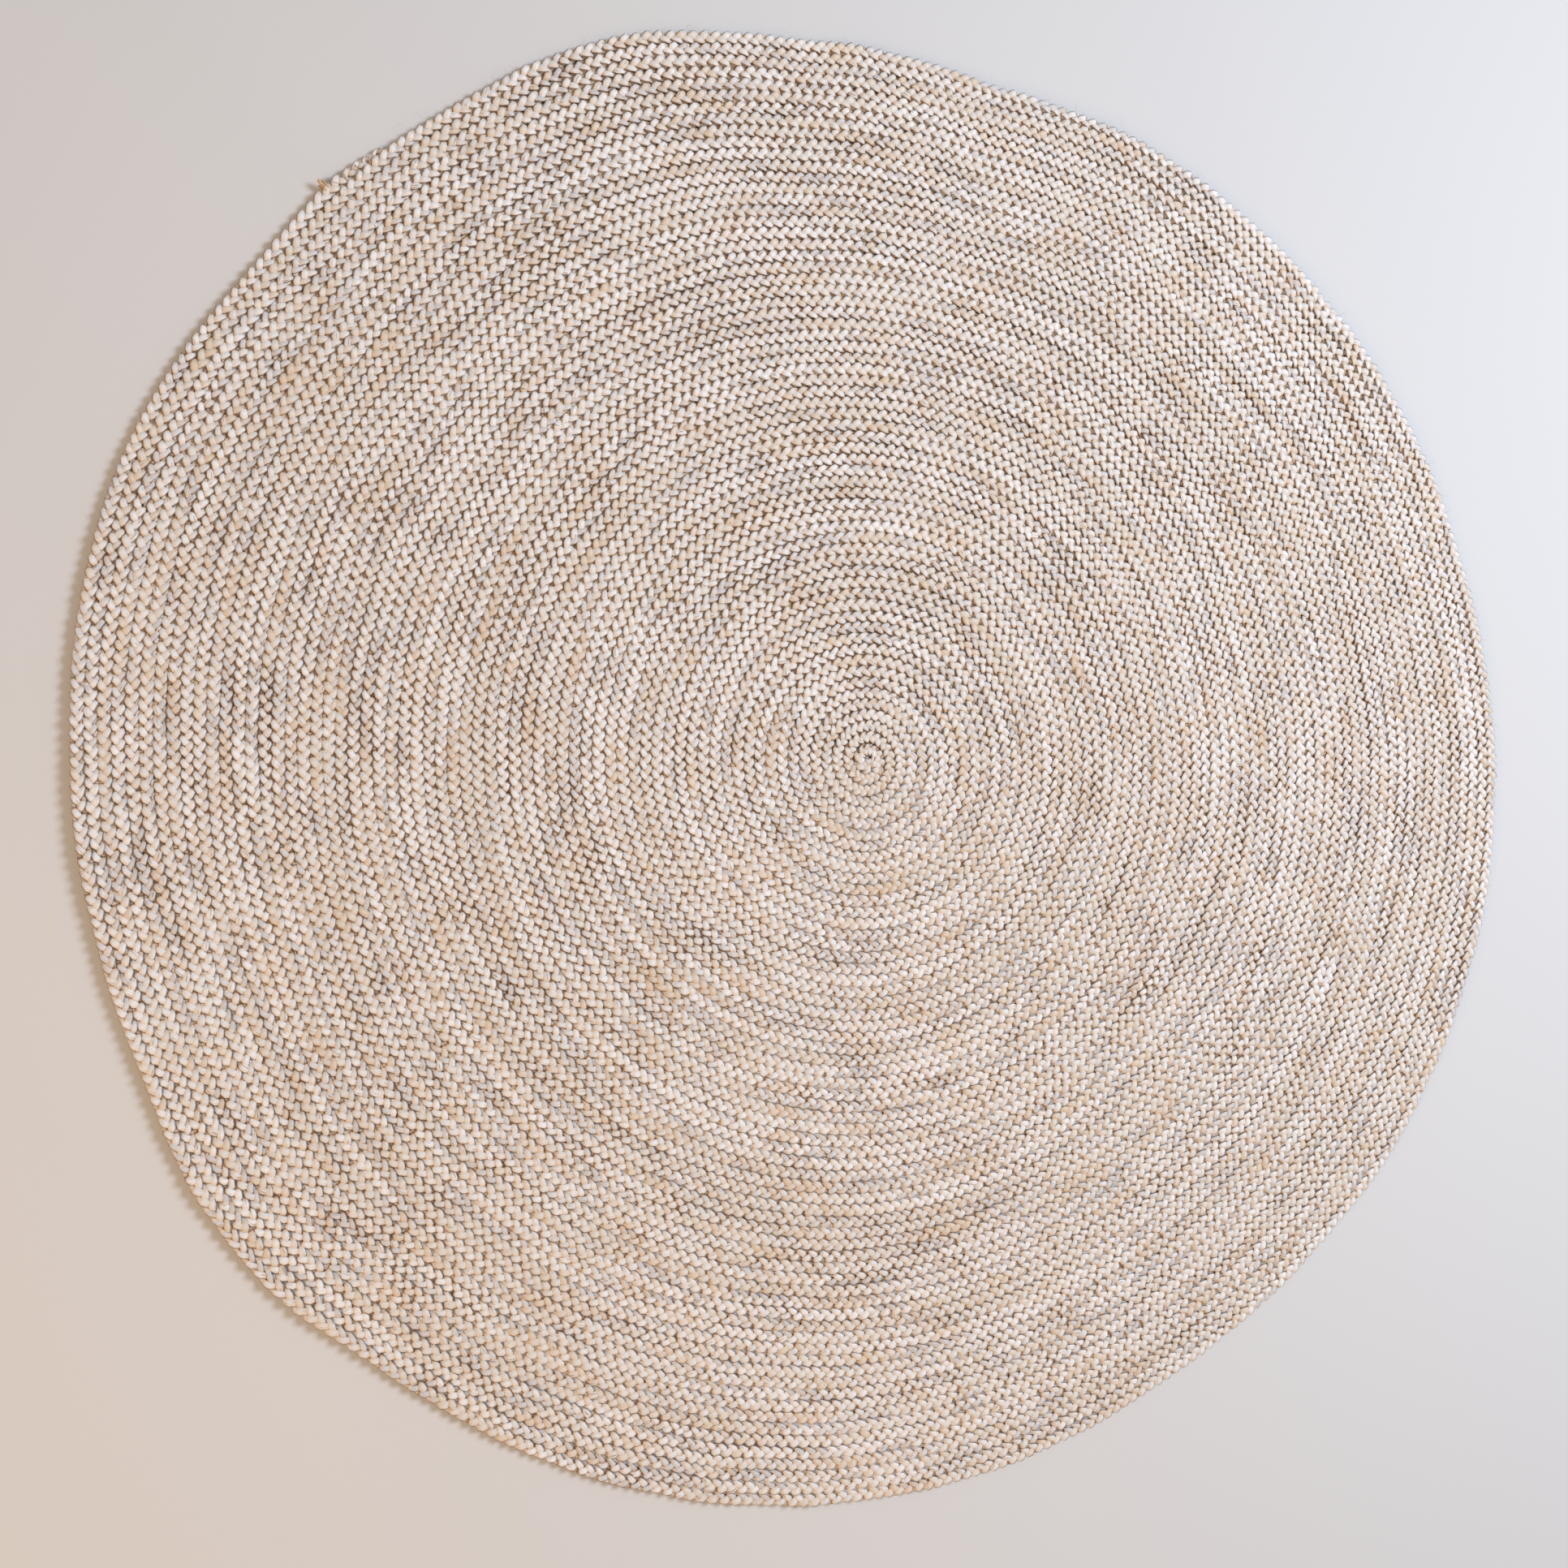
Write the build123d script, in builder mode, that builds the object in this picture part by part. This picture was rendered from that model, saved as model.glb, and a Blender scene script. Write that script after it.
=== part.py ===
from build123d import *
import math
import os

# Round braided jute rug. One long plait of three jute strands starts at a folded
# tip in the middle, winds outwards clockwise (seen from above) as a flat spiral and
# tapers off in a tucked tail at the rim. A sewing thread lies in the seam and ties
# each turn to the turn before it, and short stitches hold the tail down.
# The plait is divided into spans of whole turns that meet end to end.
# Millimetres, +Z up, the floor at z = 0, the origin at the middle of the spiral.

# Driving dimensions
row_pitch = 11.55  # from one turn of the plait to the next
full_turns = 64  # turns wound round the folded tip
plait_thickness = 9.0
seam_gap = 0.4  # open slot between neighbouring turns
shoulder_round = 3.2  # rounding of the plait's upper edges
base_round = 0.8  # rounding of the plait's lower edges
thread_width = 1.8  # sewing thread, across the seam
thread_height = 1.8
tail_length = 62.0  # taper past the end of the last full turn
tail_tip_width = 4.0
tail_round = 1.0
tail_direction = 134.0  # degrees from +X at which the last full turn ends
stitch_diameter = 1.2
stitch_depth_in_plait = 5.5
stitch_depth_in_tail = 2.4
stitch_places = (0.15, 0.4, 0.65, 0.9)  # shares of the tail's length
turns_per_span = 2
turns_per_thread = 4

# Worked out from them
half_gap = seam_gap / 2
plait_width = row_pitch - seam_gap
mid_height = plait_thickness / 2
last_half_turn = 2 * full_turns
tail_inner_radius = (last_half_turn + 1) * row_pitch / 2 + half_gap
up = Vector(0, 0, 1)
spiral_plane = Plane.XY.rotated((0, 0, tail_direction - 180))


def seam_radius(half_turn):
    """Radius of the seam on the inner side of a half-turn, about its own centre."""
    return half_turn * row_pitch / 2


def half_turn_centre(half_turn):
    """Odd and even half-turns have centres half a pitch apart, which makes their arcs a spiral."""
    offset = row_pitch / 4 if half_turn % 2 else -row_pitch / 4
    return spiral_plane.from_local_coords(Vector(offset, 0, 0))


def section_plane(half_turn):
    """Upright plane at the start of a half-turn: x is the radius and y is the height."""
    outward = spiral_plane.x_dir if half_turn % 2 else spiral_plane.x_dir * -1
    return Plane(half_turn_centre(half_turn), x_dir=outward, z_dir=outward.cross(up))


def half_turn_axis(half_turn):
    return Axis(half_turn_centre(half_turn), up)


def tail_point(radius, along):
    """Point of the tail at a radius and at a distance along it, from where the last turn ends."""
    angle = math.pi - along / tail_inner_radius
    return (radius * math.cos(angle), radius * math.sin(angle))


def stitch_planes():
    """One plane for each tail stitch, with its origin at the stitch's inner end and z outwards."""
    planes = []
    for place in stitch_places:
        x, y = tail_point(tail_inner_radius - half_gap - stitch_depth_in_plait, place * tail_length)
        start = tail_plane.from_local_coords(Vector(x, y, mid_height))
        outward = tail_plane.from_local_coords(Vector(x, y, 0)) - tail_plane.origin
        planes.append(Plane(start, x_dir=up, z_dir=outward.normalized()))
    return planes


tail_plane = Plane(half_turn_centre(last_half_turn + 1), x_dir=spiral_plane.x_dir, z_dir=up)
stitch_length = stitch_depth_in_plait + seam_gap + stitch_depth_in_tail

os.makedirs("parts", exist_ok=True)

# Folded tip of the plait, round which the first turn is wound
with BuildPart() as centre_start:
    for half_turn, seam in ((0, seam_radius(2)), (1, seam_radius(1))):
        with BuildSketch(section_plane(half_turn)) as section:
            Rectangle(seam - half_gap, plait_thickness, align=(Align.MIN, Align.MIN))
            outer_corners = section.vertices().group_by(Axis.X)[-1].sort_by(Axis.Y)
            fillet(outer_corners[-1], shoulder_round)
            fillet(section.vertices().group_by(Axis.Y)[0].sort_by(Axis.X)[-1], base_round)
            with Locations((seam, mid_height)):
                Rectangle(thread_width, thread_height, mode=Mode.SUBTRACT)
        revolve(axis=half_turn_axis(half_turn), revolution_arc=180)
centre_start.part.label = "centre_start"
export_step(centre_start.part, "parts/centre_start.step")

# Spans of the plait, from the middle to the rim
for first_turn in range(1, full_turns + 1, turns_per_span):
    last_turn = min(first_turn + turns_per_span - 1, full_turns)
    with BuildPart() as plait_turns:
        for half_turn in range(2 * first_turn - 1, 2 * last_turn + 1):
            inner_seam = seam_radius(half_turn)
            outer_seam = seam_radius(half_turn + 2)
            seams = [inner_seam]
            if half_turn + 2 <= last_half_turn:
                seams.append(outer_seam)
            with BuildSketch(section_plane(half_turn)) as section:
                with Locations(((inner_seam + outer_seam) / 2, mid_height)):
                    Rectangle(plait_width, plait_thickness)
                fillet(section.vertices().group_by(Axis.Y)[-1], shoulder_round)
                fillet(section.vertices().group_by(Axis.Y)[0], base_round)
                with Locations([(seam, mid_height) for seam in seams]):
                    Rectangle(thread_width, thread_height, mode=Mode.SUBTRACT)
            revolve(axis=half_turn_axis(half_turn), revolution_arc=180)
        if last_turn == full_turns:
            with Locations(stitch_planes()):
                Cylinder(
                    stitch_diameter / 2,
                    stitch_length,
                    align=(Align.CENTER, Align.CENTER, Align.MIN),
                    mode=Mode.SUBTRACT,
                )
    plait_turns.part.label = f"plait_turns_{first_turn:02d}_{last_turn:02d}"
    export_step(plait_turns.part, f"parts/{plait_turns.part.label}.step")

# Sewing thread in the seam on the inner side of each turn
for first_turn in range(1, full_turns + 1, turns_per_thread):
    last_turn = min(first_turn + turns_per_thread - 1, full_turns)
    with BuildPart() as seam_thread:
        for half_turn in range(2 * first_turn - 1, 2 * last_turn + 1):
            with BuildSketch(section_plane(half_turn)):
                with Locations((seam_radius(half_turn), mid_height)):
                    Rectangle(thread_width, thread_height)
            revolve(axis=half_turn_axis(half_turn), revolution_arc=180)
    seam_thread.part.label = f"seam_thread_{first_turn:02d}_{last_turn:02d}"
    export_step(seam_thread.part, f"parts/{seam_thread.part.label}.step")

# Tapered end of the plait, tucked against the outside of the last turn
with BuildPart() as tail_end:
    with BuildSketch(tail_plane):
        with BuildLine():
            start_inner = tail_point(tail_inner_radius, 0)
            start_outer = tail_point(tail_inner_radius + plait_width, 0)
            tip_inner = tail_point(tail_inner_radius, tail_length)
            tip_outer = tail_point(tail_inner_radius + tail_tip_width, tail_length)
            ThreePointArc(start_inner, tail_point(tail_inner_radius, tail_length / 2), tip_inner)
            Polyline(tip_inner, tip_outer, start_outer, start_inner)
        make_face()
    extrude(amount=plait_thickness)
    top_edges = tail_end.faces().sort_by(Axis.Z)[-1].edges()
    fillet(top_edges.sort_by(SortBy.LENGTH)[-2:], tail_round)
    with Locations(stitch_planes()):
        Cylinder(
            stitch_diameter / 2,
            stitch_length,
            align=(Align.CENTER, Align.CENTER, Align.MIN),
            mode=Mode.SUBTRACT,
        )
tail_end.part.label = "tail_end"
export_step(tail_end.part, "parts/tail_end.step")

# Short stitches that hold the tail to the last turn
with BuildPart() as tail_stitches:
    with Locations(stitch_planes()):
        Cylinder(stitch_diameter / 2, stitch_length, align=(Align.CENTER, Align.CENTER, Align.MIN))
tail_stitches.part.label = "tail_stitches"
export_step(tail_stitches.part, "parts/tail_stitches.step")
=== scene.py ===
import bpy
import math
import numpy as np
from bpy.props import FloatProperty, FloatVectorProperty, IntProperty, PointerProperty
from mathutils import Matrix, Vector


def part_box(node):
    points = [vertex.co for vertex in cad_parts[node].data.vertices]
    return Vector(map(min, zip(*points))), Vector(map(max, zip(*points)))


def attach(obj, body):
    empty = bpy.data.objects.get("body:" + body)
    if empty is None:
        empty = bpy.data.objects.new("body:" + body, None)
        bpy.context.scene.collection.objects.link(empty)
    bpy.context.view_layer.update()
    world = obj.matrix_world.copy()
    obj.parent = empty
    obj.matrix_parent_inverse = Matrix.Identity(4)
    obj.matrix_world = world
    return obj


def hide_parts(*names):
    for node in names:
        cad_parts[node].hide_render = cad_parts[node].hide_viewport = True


bl_info = {
    "name": "Round Braided Jute Rug",
    "version": (1, 0, 0),
    "blender": (4, 5, 0),
    "location": "3D View > Sidebar > Jute Rug",
    "description": "Builds the plait, thread and tail of a spiral jute rug round its packed model",
    "category": "Object",
}

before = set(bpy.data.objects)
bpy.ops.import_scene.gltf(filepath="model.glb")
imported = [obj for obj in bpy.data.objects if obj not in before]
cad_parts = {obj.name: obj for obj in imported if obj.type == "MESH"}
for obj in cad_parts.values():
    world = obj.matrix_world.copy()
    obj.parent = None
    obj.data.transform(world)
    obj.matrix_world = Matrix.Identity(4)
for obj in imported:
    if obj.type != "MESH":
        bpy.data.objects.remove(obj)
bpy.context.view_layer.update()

MM = 0.001

# ---------------------------------------------------------------------------
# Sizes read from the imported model
# ---------------------------------------------------------------------------

PLAIT_NODES = sorted(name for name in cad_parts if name.startswith("plait_turns_"))
THREAD_NODES = sorted(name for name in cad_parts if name.startswith("seam_thread_"))


def turns_of(node):
    """First and last turn of the spiral that a span's node name gives."""
    first, last = node.split("_")[-2:]
    return int(first), int(last)


def width_of(node):
    """Width of a node's box from side to side."""
    low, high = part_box(node)
    return high.x - low.x


FULL_TURNS = turns_of(PLAIT_NODES[-1])[1]
TURNS_PER_SPAN = turns_of(PLAIT_NODES[0])[1]
ROW_PITCH = (width_of(PLAIT_NODES[-2]) - width_of(PLAIT_NODES[-3])) / (2 * TURNS_PER_SPAN)
PLAIT_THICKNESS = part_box(PLAIT_NODES[-1])[1].z
MID_HEIGHT = PLAIT_THICKNESS / 2
RIM_RADIUS = (FULL_TURNS + 0.75) * ROW_PITCH  # mean radius of the last turn's outer side
TAIL_LOW, TAIL_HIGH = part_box("tail_end")
TAIL_LENGTH = (TAIL_HIGH - TAIL_LOW).xy.length - ROW_PITCH  # its box's diagonal, less its width
TAIL_DIRECTION = math.radians(134)  # direction in which the plait ends


def linear(hex_colour):
    """Linear RGBA of an sRGB colour written as RRGGBB."""
    channels = [int(hex_colour[i : i + 2], 16) / 255 for i in (0, 2, 4)]
    return (*(c / 12.92 if c <= 0.04045 else ((c + 0.055) / 1.055) ** 2.4 for c in channels), 1.0)


class RugSizes(bpy.types.PropertyGroup):
    """Sizes of the plait, thread and fibres, as a rug maker would set them."""

    leaf_length: FloatProperty(
        name="Leaf length",
        description="Distance from one visible strand crossing to the next along a turn",
        default=11.2 * MM,
        unit="LENGTH",
    )
    strand_width: FloatProperty(
        name="Strand width",
        description="Width of one flattened strand where it lies on top",
        default=7.7 * MM,
        unit="LENGTH",
    )
    strand_thickness: FloatProperty(
        name="Strand thickness",
        description="Thickness of one flattened strand",
        default=4.0 * MM,
        unit="LENGTH",
    )
    sideways_swing: FloatProperty(
        name="Sideways swing",
        description="How far a strand's middle goes to each side of the plait's middle",
        default=4.3 * MM,
        unit="LENGTH",
    )
    rise: FloatProperty(
        name="Rise",
        description="How far a strand's middle goes above and below the plait's middle",
        default=2.2 * MM,
        unit="LENGTH",
    )
    unevenness: FloatProperty(
        name="Unevenness",
        description="How much neighbouring leaves differ in size",
        default=0.17,
        subtype="FACTOR",
    )
    point_spacing: FloatProperty(
        name="Point spacing",
        description="Distance between the points of a strand",
        default=3.05 * MM,
        unit="LENGTH",
    )
    rim_lift: FloatProperty(
        name="Rim lift",
        description="How far the rim curls off the floor where it curls most",
        default=6.2 * MM,
        unit="LENGTH",
    )
    thread_thickness: FloatProperty(
        name="Thread thickness",
        description="Thickness of the sewing thread",
        default=1.5 * MM,
        unit="LENGTH",
    )
    stitch_length: FloatProperty(
        name="Stitch length",
        description="Length of one zigzag of the sewing thread",
        default=16 * MM,
        unit="LENGTH",
    )
    fibre_length: FloatProperty(
        name="Fibre length",
        description="Length of a stray fibre",
        default=7 * MM,
        unit="LENGTH",
    )
    seed: IntProperty(name="Seed", description="Changes every random choice", default=7)


def dye(name, description, hex_colour):
    """A colour that a user may change."""
    return FloatVectorProperty(
        name=name, description=description, default=linear(hex_colour)[:3], subtype="COLOR", min=0, max=1
    )


class RugColours(bpy.types.PropertyGroup):
    """Colours of the jute, from its palest fibres to the painted shade between the strands."""

    pale: dye("Pale jute", "Colour of the palest leaves", "F6F5F5")
    cream: dye("Cream jute", "Colour of the warmer leaves", "E7E1DA")
    grey: dye("Grey jute", "Colour of the cooler leaves", "CFCDCF")
    # Golden is the jute's own colour in its golden stretches; the material also paints it as warm shade
    # where the strands dive.
    golden: dye("Golden jute", "Colour of the golden stretches", "DFC19B")
    bark: dye("Bark", "Colour of the specks of bark", "755A45")
    # Painted shade: the dark between the strands and where they dive under one another, not a colour of the
    # fibres.
    crevice_shade: dye("Crevice", "Colour of the fibres between the strands", "846753")
    thread: dye("Thread", "Colour of the sewing thread", "C9B496")


# ---------------------------------------------------------------------------
# Small helpers
# ---------------------------------------------------------------------------


def add_node(tree, kind, inputs=None, **settings):
    """Adds a node, sets its properties, then fills or links its inputs by name or number."""
    node = tree.nodes.new(kind)
    for name, value in settings.items():
        setattr(node, name, value)
    for key, value in (inputs or {}).items():
        if isinstance(value, bpy.types.Node):
            value = next(socket for socket in value.outputs if socket.enabled)
        if isinstance(value, bpy.types.NodeSocket):
            tree.links.new(value, node.inputs[key])
        else:
            node.inputs[key].default_value = value
    return node


def new_tree(name, inputs):
    """A Geometry Nodes tree with these named inputs and one Geometry output."""
    tree = bpy.data.node_groups.new(name, "GeometryNodeTree")
    for label, kind in inputs:
        tree.interface.new_socket(name=label, in_out="INPUT", socket_type=kind)
    tree.interface.new_socket(name="Geometry", in_out="OUTPUT", socket_type="NodeSocketGeometry")
    return tree


def run_tree(name, source, tree, values):
    """Applies a tree to a source object and returns the result as a plain mesh object."""
    modifier = source.modifiers.new("Build", "NODES")
    modifier.node_group = tree
    for item in tree.interface.items_tree:
        if item.in_out == "INPUT" and item.name in values:
            modifier[item.identifier] = values[item.name]
    depsgraph = bpy.context.evaluated_depsgraph_get()
    mesh = bpy.data.meshes.new_from_object(source.evaluated_get(depsgraph), depsgraph=depsgraph)
    old_mesh = source.data
    source.modifiers.remove(modifier)
    bpy.data.objects.remove(source)
    bpy.data.meshes.remove(old_mesh)
    mesh.name = name
    piece = bpy.data.objects.new(name, mesh)
    bpy.context.scene.collection.objects.link(piece)
    return piece


def string_of_points(name, places, edges, attributes):
    """A mesh of points and edges that a tree reads, with values stored on each point."""
    mesh = bpy.data.meshes.new(name)
    mesh.from_pydata(places.tolist(), edges, [])
    for label, values in attributes.items():
        values = np.asarray(values, np.float32)
        kind, key = ("FLOAT", "value") if values.ndim == 1 else ("FLOAT_VECTOR", "vector")
        mesh.attributes.new(label, kind, "POINT").data.foreach_set(key, values.ravel())
    source = bpy.data.objects.new(name, mesh)
    bpy.context.scene.collection.objects.link(source)
    return source


def chain(count, first=0):
    """Edges that join this many points, one after another."""
    return [(first + i, first + i + 1) for i in range(count - 1)]


def finish_piece(piece, replaced=()):
    """Parents a finished piece to the root empty, and hides the model parts that it replaces."""
    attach(piece, "root")
    if replaced:
        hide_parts(*replaced)


# ---------------------------------------------------------------------------
# The spiral that the plait follows
# ---------------------------------------------------------------------------


def length_before(half_turn):
    """Length of the plait from the folded tip to the start of a half-turn."""
    return math.pi * ROW_PITCH * half_turn * (half_turn + 1) / 4


TAIL_START = length_before(2 * FULL_TURNS + 1)
GAP_BETWEEN_SPANS = 1e-7  # metres, so that a span's last point is on its own half-turn


def span_of(node):
    """Lengths along the plait at which a node's turns start and end."""
    first, last = turns_of(node)
    return length_before(2 * first - 1), length_before(2 * last + 1) - GAP_BETWEEN_SPANS


def spiral_point(along, sideways=0.0):
    """World x and y at each length along the plait, and at a distance outwards from its middle.
    Lengths below 0 are the straight tip before the first half-turn."""
    tip = np.maximum(-along, 0)
    along = np.maximum(along, 0)
    quarter_area = along / (math.pi * ROW_PITCH)
    half_turn = np.floor((-1 + np.sqrt(1 + 16 * quarter_area)) / 2 + 1e-9)
    radius = (half_turn + 1) * ROW_PITCH / 2
    angle = (along - length_before(half_turn)) / radius
    odd = half_turn % 2
    offset = np.where(odd == 1, ROW_PITCH / 4, -ROW_PITCH / 4)
    start = TAIL_DIRECTION - math.pi
    turned = start - angle + np.pi * odd
    radius = radius + sideways
    x = offset * math.cos(start) + radius * np.cos(turned) - tip * math.sin(start)
    y = offset * math.sin(start) + radius * np.sin(turned) + tip * math.cos(start)
    return x, y


# The rim's uneven outline: direction in degrees, and how far the rim stands out there, in mm.
RIM_OUTLINE = ((0, 4), (20, -3), (50, -4), (62, -7), (78, -21), (92, -10), (112, 11), (128, 5),
               (142, -6), (158, -1), (198, -11), (218, 4), (230, -8), (250, -1), (275, -3), (300, -13),
               (330, 2))
# Where the rim curls off the floor: direction in degrees, and share of the full lift.
RIM_CURL = ((0, 0.25), (45, 0.7), (90, 0.15), (135, 0.3), (180, 1.0), (205, 0.8), (250, 0.2), (310, 0.1))
CURL_START = 0.86  # share of the radius at which the curl begins
CURL_LIMIT = 1.03  # the curl keeps its height beyond this share of its run
FOLD_STRETCH = 4.5 * MM  # the folded tip makes the inner turns this much longer than wide
FOLD_REACH = 90 * MM  # the turns are round again beyond this radius
RIPPLE = 1.6 * MM  # long, slow wandering of the rows towards the rim
JITTER = 1.0 * MM  # short wandering of the rows
CENTRE_SIZE = 0.95  # size of the strands at the start, which were pulled tight
CENTRE_RUN = 700 * MM  # length of the plait over which the strands come to their full size
CENTRE_LEAVES = 8  # the leaves start half as long as elsewhere, and this sets how slowly they grow
LEAF_DRIFT = 0.15  # how far, in turns of the weave, the leaves run early or late


def round_the_rim(knots, angle):
    """Smooth closed curve through knots of (degrees, value), read at an array of angles."""
    degrees = np.degrees(angle) % 360
    at = np.array([knots[-1][0] - 360] + [k[0] for k in knots] + [knots[0][0] + 360, knots[1][0] + 360])
    value = np.array([knots[-1][1]] + [k[1] for k in knots] + [knots[0][1], knots[1][1]], float)
    index = np.clip(np.searchsorted(at, degrees, side="right") - 1, 0, len(at) - 2)
    share = (degrees - at[index]) / (at[index + 1] - at[index])
    blend = share * share * (3 - 2 * share)
    return value[index] * (1 - blend) + value[index + 1] * blend


def lie_of(x, y):
    """Where the regular spiral's points really lie, between the folded tip and the uneven rim,
    and the share of the rim's full lift at each of them."""
    radius = np.hypot(x, y)
    stretch = FOLD_STRETCH / (radius + FOLD_STRETCH) * np.exp(-((radius / FOLD_REACH) ** 2))
    y = y * (1 + stretch)
    radius = np.hypot(x, y)
    angle = np.arctan2(y, x)
    out = radius / RIM_RADIUS
    bulge = round_the_rim(RIM_OUTLINE, angle) * MM * out**3
    ripple = RIPPLE * np.sin(9 * x + 4 * y + 1) * np.sin(7 * y - 5 * x + 2)
    jitter = JITTER * np.sin(31 * x + 17 * y) * np.sin(23 * y - 29 * x + 1)
    scale = 1 + (bulge + (ripple + jitter) * out) / np.maximum(radius, ROW_PITCH)
    curled = np.clip((out - CURL_START) / (1 - CURL_START), 0, CURL_LIMIT)
    return x * scale, y * scale, round_the_rim(RIM_CURL, angle) * curled**2


def plait_path(name, along, sizes, sideways=0.0, taper=1.0):
    """The plait's middle line, with all that the tree reads on each point."""
    x, y, lift = lie_of(*spiral_point(along, sideways))
    outer = lie_of(*spiral_point(along, sideways + MM))
    inner = lie_of(*spiral_point(along, sideways - MM))
    side = np.stack([outer[0] - inner[0], outer[1] - inner[1], np.zeros(len(x))], 1) / (2 * MM)
    sway = np.sin(along * 5.1) + np.sin(along * 2.3 + 1) + np.sin(along * 11.7 + 2)
    crowding = CENTRE_LEAVES * np.log1p(np.maximum(along, 0) / (3 * CENTRE_LEAVES * sizes.leaf_length))
    phase = along / (STRANDS * sizes.leaf_length) + LEAF_DRIFT * sway + crowding
    taper = taper * np.interp(along, [0, CENTRE_RUN], [CENTRE_SIZE, 1])
    unlevel = np.sin(along * 9.3 + 0.4) + np.sin(along * 23.7) + np.sin(along * 3.7 + 2)
    height = MID_HEIGHT * taper + lift * sizes.rim_lift + ROW_UNLEVEL * (unlevel + UNLEVEL_BASE)
    places = np.stack([x, y, height], 1)
    values = {"along": along, "phase": phase, "taper": taper, "side": side}
    return string_of_points(name, places, chain(len(x)), values)


# ---------------------------------------------------------------------------
# Plait
# ---------------------------------------------------------------------------

PLAIT_INPUTS = (
    ("Geometry", "NodeSocketGeometry"),
    ("Strand Width", "NodeSocketFloat"),
    ("Strand Thickness", "NodeSocketFloat"),
    ("Sideways Swing", "NodeSocketFloat"),
    ("Rise", "NodeSocketFloat"),
    ("Unevenness", "NodeSocketFloat"),
    ("Lean", "NodeSocketFloat"),
    ("Roll", "NodeSocketFloat"),
    ("Seed", "NodeSocketInt"),
)
STRANDS = 3
SECTION_SIDES = 6
LEAN = 0.25  # radians of the weave by which a strand is highest before it reaches the edge
ROLL = math.radians(22)  # how far a strand tips outwards on the plait's shoulder
ROW_UNLEVEL = 0.33 * MM  # how much the rows differ in height
UNLEVEL_BASE = 1.5  # keeps the low rows from sinking into the floor
SQUEEZE = -0.25  # a strand narrows by this share where it turns back at the edge
DIVE_SIZE = 0.8  # size of a strand where it dives, as a share of its size on top
FLATNESS = 1.5  # how soon a strand is at its full height after it comes up
STRAND_WANDER = 1.9 * MM  # how far a strand strays from its even course
WANDER_SCALE = 60.0  # turns of the wander for each metre
STRAND_OFFSET = 500.0  # metres between two strands in the patterns that run along them


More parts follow.
